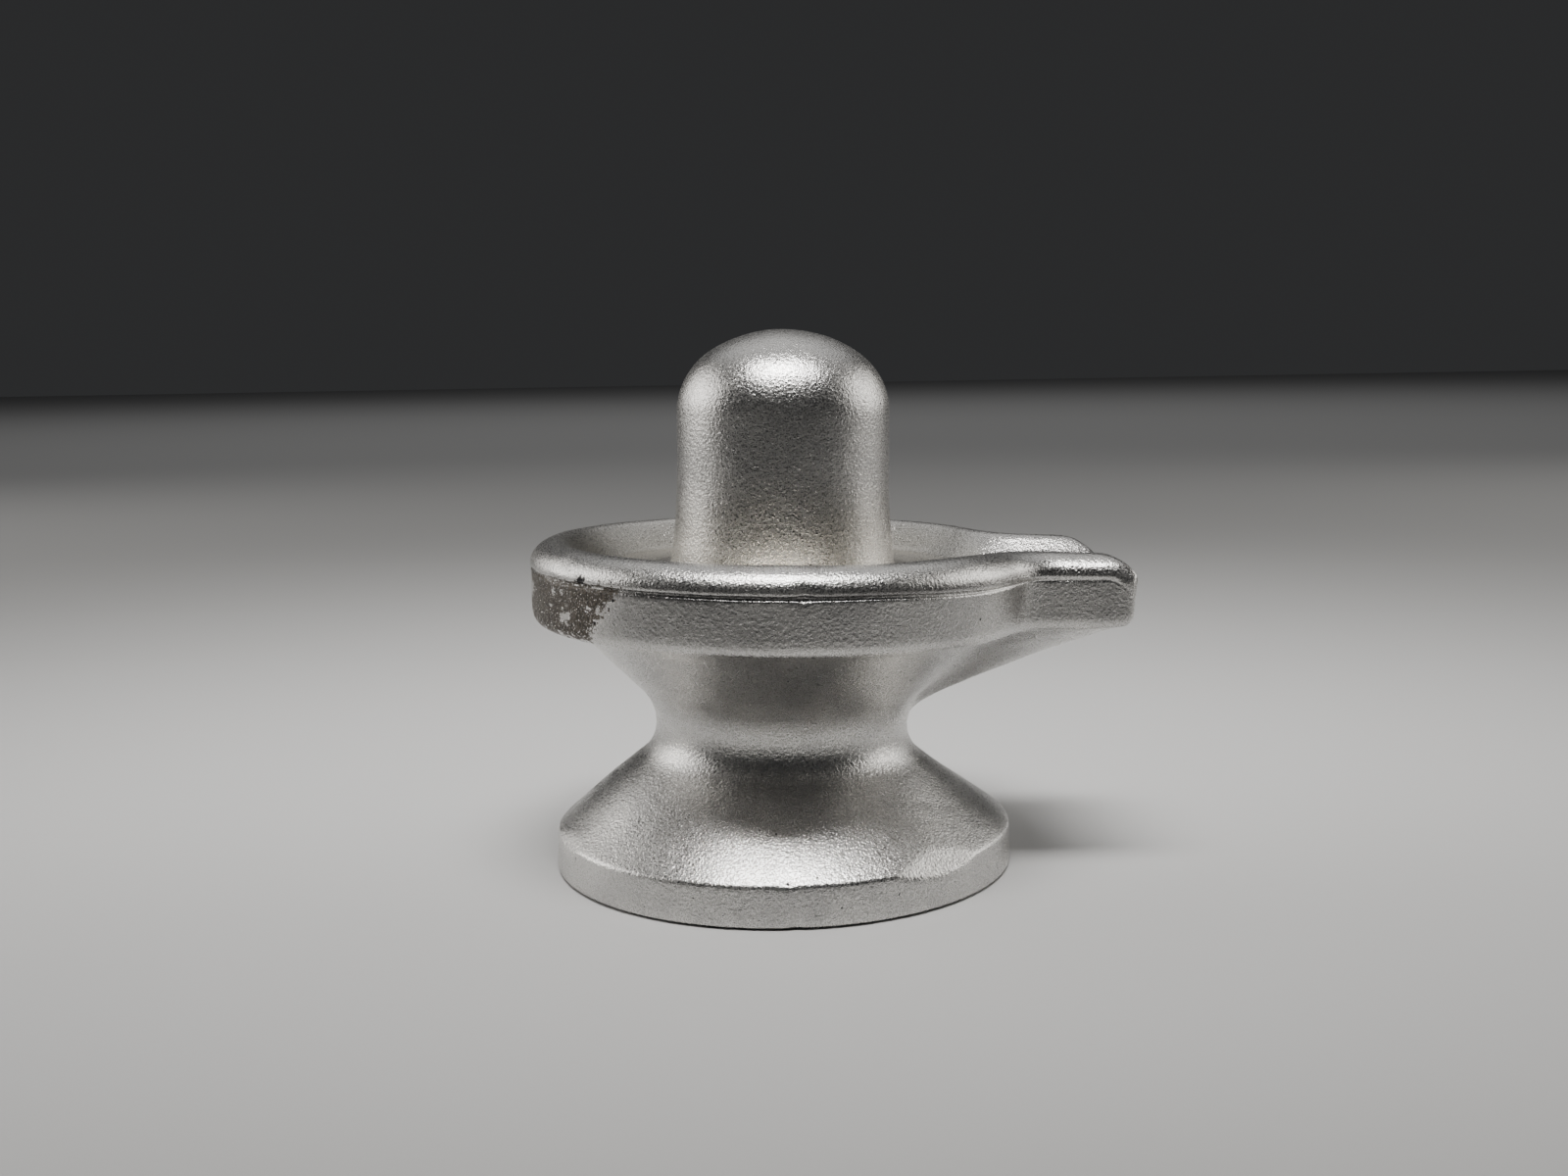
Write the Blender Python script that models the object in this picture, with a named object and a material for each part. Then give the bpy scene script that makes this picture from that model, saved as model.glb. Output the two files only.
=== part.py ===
"""Small shiva lingam, cast in one piece of silvery metal.

The casting is modelled as a stack of rings round the shaft's axis, from the underside of the foot to the
top of the dome. Foot, waist and shaft are turned, so their rings are circles. The tray's rings follow its
outline, a circle that runs out into a spout towards +X. Units are metres, +Z is up, and the origin is the
middle of the flat underside.
"""
import math

import bmesh
import bpy
from mathutils import Matrix

MM = 0.001

# Foot and waist
FOOT_RADIUS = 20.8 * MM
FOOT_EDGE = 0.3 * MM            # worn lower edge
FOOT_BAND_HEIGHT = 3.62 * MM    # near-vertical band round the foot
FOOT_BAND_DRAFT = 0.15 * MM     # the band's top is this much narrower
FOOT_BAND_ROUND = 0.6 * MM
WAIST_RADIUS = 11.5 * MM
WAIST_HEIGHT = 12.75 * MM       # narrowest place
WAIST_LENGTH = 3.9 * MM         # between the foot's cone and the bowl, measured at the corners
WAIST_ROUND = 3.7 * MM          # fillet between waist and foot
BOWL_ROUND = 1.35 * MM          # the bowl and the keel curve down into the waist over this width

# Bowl, tray and rim
TRAY_RADIUS = 22.6 * MM         # to the widest line of the rim bead
BOWL_RADIUS = 19.0 * MM         # where the bowl meets the tray's underside
TRAY_UNDERSIDE = 22.0 * MM      # height of the underside there
UNDERSIDE_RISE = 0.4 * MM       # the underside climbs this much towards the lip
LIP_ROUND = 1.1 * MM
BAND_DRAFT = 0.16 * MM          # the band's foot is this far inside the bead
GROOVE_DEPTH = 0.25 * MM
GROOVE_HALF_HEIGHT = 0.25 * MM
BEAD_HALF_WIDTH = 2.44 * MM
BEAD_HALF_HEIGHT = 2.04 * MM
RIM_HEIGHT = 29.5 * MM          # crest of the bead
TRAY_FLOOR = 26.9 * MM
TRAY_WALL_ANGLE = math.radians(43)
RIM_INNER_ROUND = 1.3 * MM
FLOOR_ROUND = 1.5 * MM

# Spout and keel
SPOUT_REACH = 30.0 * MM         # from the axis to the middle of the spout's end
SPOUT_HALF_WIDTH = 8.6 * MM
SPOUT_CORNER = 1.2 * MM         # plan radius of the end's corners
SPOUT_SKEW = 0.07               # the end stands this much out of square, the +Y side shorter
SPOUT_TWIST = 0.012             # the +Y wall stands higher by this much of its distance out
SPOUT_BLEND = 1.9 * MM          # fillet between spout and round tray
SPOUT_STEP = 0.25 * MM          # the spout's crests lie this much below the rim's
SPOUT_ROOT = 7.0 * MM           # length over which the rim turns into the spout
SPOUT_FALL = 0.025              # height lost for each length towards the end
SPOUT_END_ROUND = 2.75 * MM     # the walls' crests roll down over this length
SPOUT_END_DIP = 1.15 * MM       # the groove sinks this much round the end
MOUTH_ROUND = 0.5 * MM
SPOUT_LIP = 22.35 * MM          # height of the underside's edge along the spout
SPOUT_LIP_WIDTH = 2.1 * MM      # the underside levels out to it over this width
KEEL_START = 14.1 * MM          # height of the keel line at the waist
KEEL_END = 21.45 * MM           # height of the keel line at the spout's end
KEEL_ARCH = 0.32 * MM           # the keel line rises this much above straight midway
KEEL_ROUND = 1.3 * MM
KEEL_BLEND = 2.6 * MM           # fillet between keel and bowl
BOWL_BLEND = 1.3 * MM

# Shaft
SHAFT_RADIUS = 9.5 * MM
SHAFT_HEIGHT = 48.1 * MM        # top of the dome above the underside
SHAFT_FOOT_ROUND = 0.9 * MM
SHAFT_FLARE_START = 36.0 * MM   # the shaft widens below this height
SHAFT_FLARE_RADIUS = 68.0 * MM
DOME_RADIUS = 12.0 * MM         # crown of the dome
SHOULDER_RADIUS = 6.5 * MM

# The upper body stands a little out of true on the foot
LEAN = math.radians(1.3)
LEAN_PIVOT = 13.0 * MM
LEAN_START = 4.2 * MM
LEAN_FULL = 9.0 * MM

# How finely the casting is divided
COLUMNS = 80
TURN_WEIGHT = 3.0 * MM          # extra columns where the outline turns
ROOT_STEPS = 40                 # halvings when a ring is laid on the outline
OUTLINE_SAMPLES = 1440

SILVER = (0.62, 0.61, 0.59, 1.0)
SILVER_ROUGHNESS = 0.42


def smooth_min(a, b, blend):
    """The lower of two values, with a fillet of about the blend's size where they cross."""
    overlap = max(blend - abs(a - b), 0.0) / blend
    return min(a, b) - overlap * overlap * blend / 4


def smooth_step(value, low, high):
    t = min(max((value - low) / (high - low), 0.0), 1.0)
    return t * t * (3 - 2 * t)


def rounded(corners, steps):
    """A line through (r, z, radius) corners, with each corner turned into an arc."""
    line = []
    for i, (r, z, radius) in enumerate(corners):
        if radius == 0 or i in (0, len(corners) - 1):
            line.append((r, z))
            continue
        back = (corners[i - 1][0] - r, corners[i - 1][1] - z)
        on = (corners[i + 1][0] - r, corners[i + 1][1] - z)
        back_length, on_length = math.hypot(*back), math.hypot(*on)
        back = (back[0] / back_length, back[1] / back_length)
        on = (on[0] / on_length, on[1] / on_length)
        half = math.acos(max(-1.0, min(1.0, back[0] * on[0] + back[1] * on[1]))) / 2
        tangent = radius / math.tan(half)
        middle = (back[0] + on[0], back[1] + on[1])
        length = math.hypot(*middle)
        reach = radius / math.sin(half)
        centre = (r + middle[0] / length * reach, z + middle[1] / length * reach)
        start = math.atan2(z + back[1] * tangent - centre[1], r + back[0] * tangent - centre[0])
        end = math.atan2(z + on[1] * tangent - centre[1], r + on[0] * tangent - centre[0])
        sweep = (end - start + math.pi) % (2 * math.pi) - math.pi
        for k in range(steps + 1):
            angle = start + sweep * k / steps
            line.append((centre[0] + radius * math.cos(angle), centre[1] + radius * math.sin(angle)))
    return line


def foot_line():
    """Turned line from the underside's edge up over the foot's cone to the narrowest place."""
    band_top = FOOT_RADIUS - FOOT_BAND_DRAFT
    low = WAIST_HEIGHT - WAIST_LENGTH / 2
    line = rounded([(0, 0, 0), (FOOT_RADIUS, 0, FOOT_EDGE), (band_top, FOOT_BAND_HEIGHT, 0)], 2)[1:-1]
    line += rounded([(FOOT_RADIUS, FOOT_EDGE, 0), (band_top, FOOT_BAND_HEIGHT, FOOT_BAND_ROUND),
                     (WAIST_RADIUS, low, 0)], 3)[1:-1]
    line += rounded([(band_top, FOOT_BAND_HEIGHT, 0), (WAIST_RADIUS, low, WAIST_ROUND),
                     (WAIST_RADIUS, WAIST_HEIGHT, 0)], 4)[1:]
    return line


def shaft_line():
    """Turned line from the tray's floor up the shaft and over the dome, without the pole."""
    flare = math.asin((SHAFT_FLARE_START - TRAY_FLOOR) / SHAFT_FLARE_RADIUS)

    def flared(height):
        drop = (SHAFT_FLARE_START - height) / SHAFT_FLARE_RADIUS
        return SHAFT_RADIUS + SHAFT_FLARE_RADIUS * (1 - math.sqrt(1 - drop * drop))

    base = flared(TRAY_FLOOR)
    line = rounded([(base + 3 * SHAFT_FOOT_ROUND, TRAY_FLOOR, 0), (base, TRAY_FLOOR, SHAFT_FOOT_ROUND),
                    (base - 3 * SHAFT_FOOT_ROUND * math.tan(flare), TRAY_FLOOR + 3 * SHAFT_FOOT_ROUND, 0)], 3)[1:-1]
    flare_steps = 4
    for k in range(1, flare_steps + 1):
        height = TRAY_FLOOR + SHAFT_FOOT_ROUND + (SHAFT_FLARE_START - TRAY_FLOOR - SHAFT_FOOT_ROUND) * k / flare_steps
        line.append((flared(height), height))
    crown_height = SHAFT_HEIGHT - DOME_RADIUS
    shoulder = SHAFT_RADIUS - SHOULDER_RADIUS
    shoulder_height = crown_height + math.sqrt((DOME_RADIUS - SHOULDER_RADIUS) ** 2 - shoulder ** 2)
    meet = math.atan2(shoulder_height - crown_height, shoulder)
    shoulder_steps, crown_steps = 5, 4
    for k in range(shoulder_steps + 1):
        angle = meet * k / shoulder_steps
        line.append((shoulder + SHOULDER_RADIUS * math.cos(angle), shoulder_height + SHOULDER_RADIUS * math.sin(angle)))
    for k in range(1, crown_steps):
        angle = meet + (math.pi / 2 - meet) * k / crown_steps
        line.append((DOME_RADIUS * math.cos(angle), crown_height + DOME_RADIUS * math.sin(angle)))
    return line


def rim_line():
    """Line of (inset, height) from the bead's widest place over the crest down to the tray's floor."""
    bead_steps = 6
    line = []
    for k in range(bead_steps + 1):
        angle = math.pi / 2 * k / bead_steps
        line.append((BEAD_HALF_WIDTH * (1 - math.cos(angle)),
                     RIM_HEIGHT - BEAD_HALF_HEIGHT * (1 - math.sin(angle))))
    drop = RIM_HEIGHT - TRAY_FLOOR
    run = drop / math.tan(TRAY_WALL_ANGLE)
    corner = BEAD_HALF_WIDTH + RIM_INNER_ROUND * math.tan(TRAY_WALL_ANGLE / 2)
    line += rounded([(BEAD_HALF_WIDTH, RIM_HEIGHT, 0), (corner, RIM_HEIGHT, RIM_INNER_ROUND),
                     (corner + run, TRAY_FLOOR, FLOOR_ROUND), (corner + 2 * run, TRAY_FLOOR, 0)], 3)[2:-1]
    return line


RIM = rim_line()


def rim_height(inset):
    """Height of the tray's top at a distance inside its outline."""
    for (low, start), (high, end) in zip(RIM, RIM[1:]):
        if inset <= high:
            return start + (end - start) * (inset - low) / (high - low)
    return TRAY_FLOOR


def spout_end(y):
    """How far the spout reaches at a distance from its middle."""
    return SPOUT_REACH - SPOUT_SKEW * y


def spout_distance(x, y):
    """Signed distance to the spout's plan, a bar with rounded corners at its end."""
    over_x = max(x - (spout_end(y) - SPOUT_CORNER), -x)
    over_y = abs(y) - (SPOUT_HALF_WIDTH - SPOUT_CORNER)
    return math.hypot(max(over_x, 0), max(over_y, 0)) + min(max(over_x, over_y), 0) - SPOUT_CORNER


def outline_distance(x, y):
    """Signed distance to the whole tray's plan, below zero inside."""
    return smooth_min(math.hypot(x, y) - TRAY_RADIUS, spout_distance(x, y), SPOUT_BLEND)


def side_inset(x, y):
    """Distance inside the tray's outline, with the spout running on past its end."""
    return -smooth_min(math.hypot(x, y) - TRAY_RADIUS, max(abs(y) - SPOUT_HALF_WIDTH, -x), SPOUT_BLEND)


def outline_reach(angle, inset):
    """How far from the axis the tray's outline, moved in by inset, lies in one direction."""
    low, high = 0.0, 2 * SPOUT_REACH
    for _ in range(ROOT_STEPS):
        middle = (low + high) / 2
        if outline_distance(middle * math.cos(angle), middle * math.sin(angle)) < -inset:
            low = middle
        else:
            high = middle
    return low


def column_angles():
    """Directions of the columns: even along the outline and the channel's wall, closer where they turn."""
    angles = [2 * math.pi * k / OUTLINE_SAMPLES for k in range(OUTLINE_SAMPLES + 1)]
    travelled = [0.0] * len(angles)
    for inset in (0.0, RIM[-1][0]):
        reaches = [outline_reach(a, inset) for a in angles]
        points = [(reach * math.cos(a), reach * math.sin(a)) for reach, a in zip(reaches, angles)]
        heading = math.pi / 2
        total = 0.0
        for k in range(OUTLINE_SAMPLES):
            step = (points[k + 1][0] - points[k][0], points[k + 1][1] - points[k][1])
            new_heading = math.atan2(step[1], step[0])
            turn = abs((new_heading - heading + math.pi) % (2 * math.pi) - math.pi)
            heading = new_heading
            total += math.hypot(*step) + TURN_WEIGHT * turn
            travelled[k + 1] += total
    columns = []
    k = 0
    for column in range(COLUMNS):
        target = travelled[-1] * column / COLUMNS
        while travelled[k + 1] < target:
            k += 1
        share = (target - travelled[k]) / (travelled[k + 1] - travelled[k])
        columns.append(angles[k] + (angles[k + 1] - angles[k]) * share)
    return columns


def into_spout(x):
    """0 on the round tray, 1 on the spout, and a smooth step over its root."""
    root_end = math.sqrt(TRAY_RADIUS ** 2 - SPOUT_HALF_WIDTH ** 2)
    return smooth_step(x, root_end - SPOUT_ROOT, root_end)


def crest_height(x, y):
    """Height of the bead's crest: lower on the spout, and falling a little towards its end."""
    past_root = max(x - math.sqrt(TRAY_RADIUS ** 2 - SPOUT_HALF_WIDTH ** 2), 0.0)
    return RIM_HEIGHT + into_spout(x) * (SPOUT_TWIST * y - SPOUT_STEP) - SPOUT_FALL * past_root


def widest_height(x):
    """Height of the bead's widest line, which sinks round the spout's end."""
    dip = SPOUT_END_DIP * smooth_step(x, SPOUT_REACH - SPOUT_END_ROUND, SPOUT_REACH - SPOUT_CORNER / 2)
    return RIM_HEIGHT - BEAD_HALF_HEIGHT - dip


def tray_top(x, y):
    """Height of the tray's top surface: bead, sloping wall, floor, and the spout's rolled end."""
    inset = max(side_inset(x, y), 0.0)
    plain = rim_height(inset)
    crest = crest_height(x, y)
    if inset < BEAD_HALF_WIDTH:
        share = (plain - RIM_HEIGHT + BEAD_HALF_HEIGHT) / BEAD_HALF_HEIGHT
        top = widest_height(x) + (crest - widest_height(x)) * share
    else:
        top = TRAY_FLOOR + (crest - TRAY_FLOOR) * (plain - TRAY_FLOOR) / (RIM_HEIGHT - TRAY_FLOOR)
    from_end = max(spout_end(y) - x, 0.0)
    if from_end >= SPOUT_END_ROUND:
        return top
    lowest = RIM_HEIGHT - BEAD_HALF_HEIGHT - SPOUT_END_DIP
    roll = math.sqrt(1 - (1 - from_end / SPOUT_END_ROUND) ** 2)
    return max(smooth_min(top, lowest + (crest - lowest) * roll, MOUTH_ROUND), lowest)


def bare_bottom(x, y):
    """Height of the underside but for its curve into the waist: bowl, flat below the tray, and keel."""
    radius = math.hypot(x, y)
    high = WAIST_HEIGHT + WAIST_LENGTH / 2
    slope = (TRAY_UNDERSIDE - high) / (BOWL_RADIUS - WAIST_RADIUS)
    bowl = high + slope * (radius - WAIST_RADIUS)
    flat = TRAY_UNDERSIDE + UNDERSIDE_RISE * (radius - BOWL_RADIUS) / (TRAY_RADIUS - BOWL_RADIUS)
    flat += max(radius - TRAY_RADIUS, 0.0)
    bottom = smooth_min(bowl, flat, BOWL_BLEND)
    if x > 0:
        along = (x - WAIST_RADIUS) / (SPOUT_REACH - WAIST_RADIUS)
        keel = KEEL_START + (KEEL_END - KEEL_START) * along
        keel += KEEL_ARCH * math.sin(math.pi * min(max(along, 0.0), 1.0))
        side = TRAY_UNDERSIDE + UNDERSIDE_RISE
        edge = SPOUT_HALF_WIDTH - BAND_DRAFT - LIP_ROUND
        spread = (math.hypot(y, KEEL_ROUND) - KEEL_ROUND) / (math.hypot(edge, KEEL_ROUND) - KEEL_ROUND)
        bottom = smooth_min(bottom, keel + (side - keel) * spread, KEEL_BLEND)
        bottom += (SPOUT_LIP - bottom) * into_spout(x) * smooth_step(abs(y), edge - SPOUT_LIP_WIDTH, edge)
    return bottom


def tray_bottom(x, y):
    """Height of the underside, which curves down into the waist's upright wall."""
    radius = math.hypot(x, y)
    at_waist = WAIST_RADIUS / radius
    drop = bare_bottom(x * at_waist, y * at_waist) - WAIST_HEIGHT
    out = min(max((radius - WAIST_RADIUS) / BOWL_ROUND, 0.0), 1.0)
    return bare_bottom(x, y) - drop * (1 - math.sqrt(1 - (1 - out) ** 2))


def ring_on_outline(columns, inset, height):
    """One ring on the outline moved in by inset; height gives z from x and y."""
    ring = []
    for angle in columns:
        reach = outline_reach(angle, inset)
        x, y = reach * math.cos(angle), reach * math.sin(angle)
        ring.append((x, y, height(x, y)))
    return ring


def ring_between(inner, outer, share, height):
    """One ring part of the way between two others in plan."""
    ring = []
    for (x0, y0, _), (x1, y1, _) in zip(inner, outer):
        x, y = x0 + (x1 - x0) * share, y0 + (y1 - y0) * share
        ring.append((x, y, height(x, y)))
    return ring


def turned_ring(columns, radius, height):
    return [(radius * math.cos(a), radius * math.sin(a), height) for a in columns]


def casting_rings():
    """Every ring of the casting, from the underside's edge to just below the dome's pole."""
    columns = column_angles()
    rings = [turned_ring(columns, r, z) for r, z in foot_line()]

    # The bowl, from the waist out to the lip below the band, with closer rings where it curves
    bowl_rings = 11
    lip_inset = BAND_DRAFT + LIP_ROUND
    start = rings[-1]
    lip = ring_on_outline(columns, lip_inset, tray_bottom)
    rings += [ring_between(start, lip, (k / bowl_rings) ** 2, tray_bottom) for k in range(1, bowl_rings)]
    rings.append(lip)

    # Round the lip and up the band to the groove
    lip_steps = 4
    for k in range(1, lip_steps + 1):
        angle = math.pi / 2 * k / lip_steps
        edge = ring_on_outline(columns, lip_inset - LIP_ROUND * math.sin(angle), lambda x, y: 0.0)
        rise = LIP_ROUND * (1 - math.cos(angle))
        rings.append([(x, y, low + rise) for (x, y, _), (_, _, low) in zip(edge, lip)])

    def below_bead(drop):
        return lambda x, y: widest_height(x) - drop

    rings.append(ring_on_outline(columns, BAND_DRAFT / 2, below_bead(4 * GROOVE_HALF_HEIGHT)))
    rings.append(ring_on_outline(columns, BAND_DRAFT / 3, below_bead(3 * GROOVE_HALF_HEIGHT)))
    rings.append(ring_on_outline(columns, GROOVE_DEPTH, below_bead(2 * GROOVE_HALF_HEIGHT)))
    rings.append(ring_on_outline(columns, GROOVE_DEPTH / 5, below_bead(GROOVE_HALF_HEIGHT)))

    # Over the bead and down the sloping wall, then across the floor to the shaft
    rings += [ring_on_outline(columns, inset, tray_top) for inset, _ in RIM]
    shaft = [turned_ring(columns, r, z) for r, z in shaft_line()]
    floor_rings = 3
    rings += [ring_between(rings[-1], shaft[0], k / floor_rings, tray_top) for k in range(1, floor_rings)]
    return rings + shaft


def leaned(x, y, z):
    """The point after the upper body's small lean towards the spout."""
    share = smooth_step(z, LEAN_START, LEAN_FULL) * LEAN
    up = z - LEAN_PIVOT
    return (x * math.cos(share) + up * math.sin(share), y, LEAN_PIVOT + up * math.cos(share) - x * math.sin(share))


def silver():
    material = bpy.data.materials.new("cast_silver")
    material.use_nodes = True
    shader = material.node_tree.nodes["Principled BSDF"]
    shader.inputs["Base Color"].default_value = SILVER
    shader.inputs["Metallic"].default_value = 1.0
    shader.inputs["Roughness"].default_value = SILVER_ROUGHNESS
    return material


def shiva_lingam():
    """The one casting, skinned over its rings and closed at both poles."""
    bm = bmesh.new()
    rings = [[bm.verts.new(leaned(*point)) for point in ring] for ring in casting_rings()]
    for lower, upper in zip(rings, rings[1:]):
        for k in range(COLUMNS):
            after = (k + 1) % COLUMNS
            bm.faces.new((lower[k], lower[after], upper[after], upper[k]))
    foot = bm.verts.new((0, 0, 0))
    crown = bm.verts.new(leaned(0, 0, SHAFT_HEIGHT))
    for k in range(COLUMNS):
        after = (k + 1) % COLUMNS
        bm.faces.new((foot, rings[0][after], rings[0][k]))
        bm.faces.new((crown, rings[-1][k], rings[-1][after]))
    mesh = bpy.data.meshes.new("shiva_lingam")
    bm.to_mesh(mesh)
    bm.free()
    mesh.shade_smooth()
    mesh.set_sharp_from_angle(angle=math.radians(35))
    mesh.materials.append(silver())
    casting = bpy.data.objects.new("shiva_lingam", mesh)
    casting.matrix_world = Matrix.Identity(4)
    bpy.context.scene.collection.objects.link(casting)
    return casting


for old in list(bpy.data.objects):
    bpy.data.objects.remove(old, do_unlink=True)
shiva_lingam()
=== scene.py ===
import math

import bpy
import numpy as np
from mathutils import Matrix, Vector, noise


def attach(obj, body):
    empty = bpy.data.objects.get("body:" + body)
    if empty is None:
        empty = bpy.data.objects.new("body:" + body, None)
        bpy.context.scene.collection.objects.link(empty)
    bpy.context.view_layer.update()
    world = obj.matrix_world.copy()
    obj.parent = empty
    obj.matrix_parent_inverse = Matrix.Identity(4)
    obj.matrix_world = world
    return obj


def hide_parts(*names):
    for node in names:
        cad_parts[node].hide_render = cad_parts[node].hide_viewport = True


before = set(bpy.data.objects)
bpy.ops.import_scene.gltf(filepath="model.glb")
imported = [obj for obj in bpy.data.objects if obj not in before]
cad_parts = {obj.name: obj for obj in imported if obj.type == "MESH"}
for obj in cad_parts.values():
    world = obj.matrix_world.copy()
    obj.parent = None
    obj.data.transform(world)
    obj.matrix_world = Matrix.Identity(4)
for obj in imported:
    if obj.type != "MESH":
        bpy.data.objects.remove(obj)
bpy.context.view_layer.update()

MM = 0.001

# The viewpoint: a close-up from a little above the tray, straight at the side with the spout to the
# right. The camera is tipped down eight degrees and a degree off level, as it was held.
CAMERA_PLACE = Vector((0.42, -144.51, 45.38)) * MM
PITCH, ROLL = math.radians(8.08), math.radians(0.992)
SENSOR_WIDTH, FOCAL_LENGTH = 36.0, 36.9
NEAR_CLIP, FAR_CLIP = 0.01, 20.0
ahead = Vector((0, math.cos(PITCH), -math.sin(PITCH)))
level, upright = Vector((1, 0, 0)), Vector((0, math.sin(PITCH), math.cos(PITCH)))
right = level * math.cos(ROLL) - upright * math.sin(ROLL)
up = level * math.sin(ROLL) + upright * math.cos(ROLL)
lens = bpy.data.cameras.new("close_up")
lens.sensor_fit, lens.sensor_width, lens.lens = "HORIZONTAL", SENSOR_WIDTH, FOCAL_LENGTH
lens.clip_start, lens.clip_end = NEAR_CLIP, FAR_CLIP
camera = bpy.data.objects.new("close_up", lens)
camera.matrix_world = Matrix.Translation(CAMERA_PLACE) @ Matrix((right, up, -ahead)).transposed().to_4x4()
bpy.context.scene.collection.objects.link(camera)
bpy.context.scene.camera = camera

# The floor: a plain pale sheet that the casting stands on. It is not part of the object.
FLOOR_WIDTH = 6.0
PAPER_COLOUR, PAPER_ROUGHNESS = (0.46, 0.457, 0.452, 1), 0.75
bpy.ops.object.select_all(action="DESELECT")
bpy.ops.mesh.primitive_plane_add(size=FLOOR_WIDTH, location=(0, 0, 0))
floor = bpy.context.object
floor.name = "floor"
paper = bpy.data.materials.new("pale_paper")
paper.use_nodes = True
paper.node_tree.nodes["Principled BSDF"].inputs["Base Color"].default_value = PAPER_COLOUR
paper.node_tree.nodes["Principled BSDF"].inputs["Roughness"].default_value = PAPER_ROUGHNESS
floor.data.materials.append(paper)

# The light: one soft box overhead, tipped from the camera's side, a broad dim one on each side, a large
# one far behind and a dark room, so that the metal has a bright top edge, light flanks and a dark middle.
ROOM_COLOUR, ROOM_STRENGTH = (0.60, 0.61, 0.63, 1), 0.05


def soft_box(name, place, aim, width, depth, watts, tint, cone):
    """A rectangular light: place, aim, width and depth are millimetres, and its cone is in degrees."""
    light = bpy.data.lights.new(name, "AREA")
    light.shape, light.size, light.size_y = "RECTANGLE", width * MM, depth * MM
    light.energy, light.color, light.spread = watts, tint, math.radians(cone)
    lamp = bpy.data.objects.new(name, light)
    way = (Vector(aim) - Vector(place)).normalized()
    facing = way.to_track_quat("-Z", "Y").to_matrix().to_4x4()
    lamp.matrix_world = Matrix.Translation(Vector(place) * MM) @ facing
    bpy.context.scene.collection.objects.link(lamp)


soft_box("soft_box_overhead", (0, -95, 340), (0, 45, 0), 250, 66, 0.25, (1.0, 0.99, 0.98), 52)
soft_box("soft_box_left", (-560, 200, 240), (0, 60, 30), 560, 380, 0.60, (1.0, 0.98, 0.95), 90)
soft_box("soft_box_right", (560, 200, 240), (0, 60, 30), 560, 380, 0.50, (1.0, 0.98, 0.94), 90)
soft_box("soft_box_behind", (0, 900, 1100), (0, 1000, 0), 1600, 1000, 4.0, (1.0, 1.0, 1.0), 170)
room = bpy.data.worlds.new("room")
room.use_nodes = True
room.node_tree.nodes["Background"].inputs["Color"].default_value = ROOM_COLOUR
room.node_tree.nodes["Background"].inputs["Strength"].default_value = ROOM_STRENGTH
bpy.context.scene.world = room

# The casting: foot, waist, bowl, rimmed tray, spout and shaft are one pour of silver-grey metal in
# sand. The pattern was turned, so its half outline is drawn and spun, and the spout is then drawn out
# of the round tray. All lengths here are millimetres until the finished mesh is scaled to metres.
FOOT_RADIUS, FOOT_BAND, FOOT_CORNER = 20.8, 3.62, 0.6
SOLE_INSET, EDGE_INSET, EDGE_RISE, EDGE_ROUND, BAND_DRAFT = 0.5, 0.4, 0.3, 0.3, 0.15
WAIST_RADIUS, WAIST_LOW, WAIST_MIDDLE, WAIST_HIGH, WAIST_FILLET = 11.48, 10.77, 12.9, 14.7, 3.7
TRAY_RADIUS, BOWL_RADIUS, UNDERSIDE = 22.6, 19.0, 22.0
RIM_CREST, TRAY_FLOOR = 29.5, 26.9
BEAD_OUT, BEAD_UP, CREST_FLAT, CREST_ROUND = 2.44, 2.04, 0.5, 1.3
WALL_SLOPE, FLOOR_ROUND, FLOOR_START = math.radians(43), 1.5, 1.8
SHAFT_RADIUS, SHAFT_TOP, FLARE_FROM, FLARE_RADIUS = 9.5, 48.1, 36.0, 68.0
CORNER_ROUND, CORNER_RUN, CORNER_RISE, CORNER_DRAFT = 0.8, 1.2, 1.0, 0.12
DOME_RADIUS, SHOULDER_RADIUS = 12.0, 6.5

# How finely the casting is divided: columns round it, the distance between rings, how many rings cross
# the bowl and the tray's floor, the bead's step in degrees, and the points in each stretch of the shaft
COLUMNS = 400
SOLE_SPACING, FOOT_SPACING, WALL_SPACING, CORNER_SPACING = 6.0, 0.4, 0.33, 0.3
BOWL_RINGS, BOWL_CROWDING, FLOOR_RINGS = 32, 1.35, 14
BEAD_STEP, FLARE_POINTS, STRAIGHT_POINTS, ARC_POINTS = 5.5, 20, 12, 18


def eased(value, low, high):
    """0 at low and beyond it, 1 at high and beyond it, and a smooth turn between the two."""
    t = np.clip((value - low) / (high - low), 0.0, 1.0)
    return t * t * (3 - 2 * t)


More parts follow.
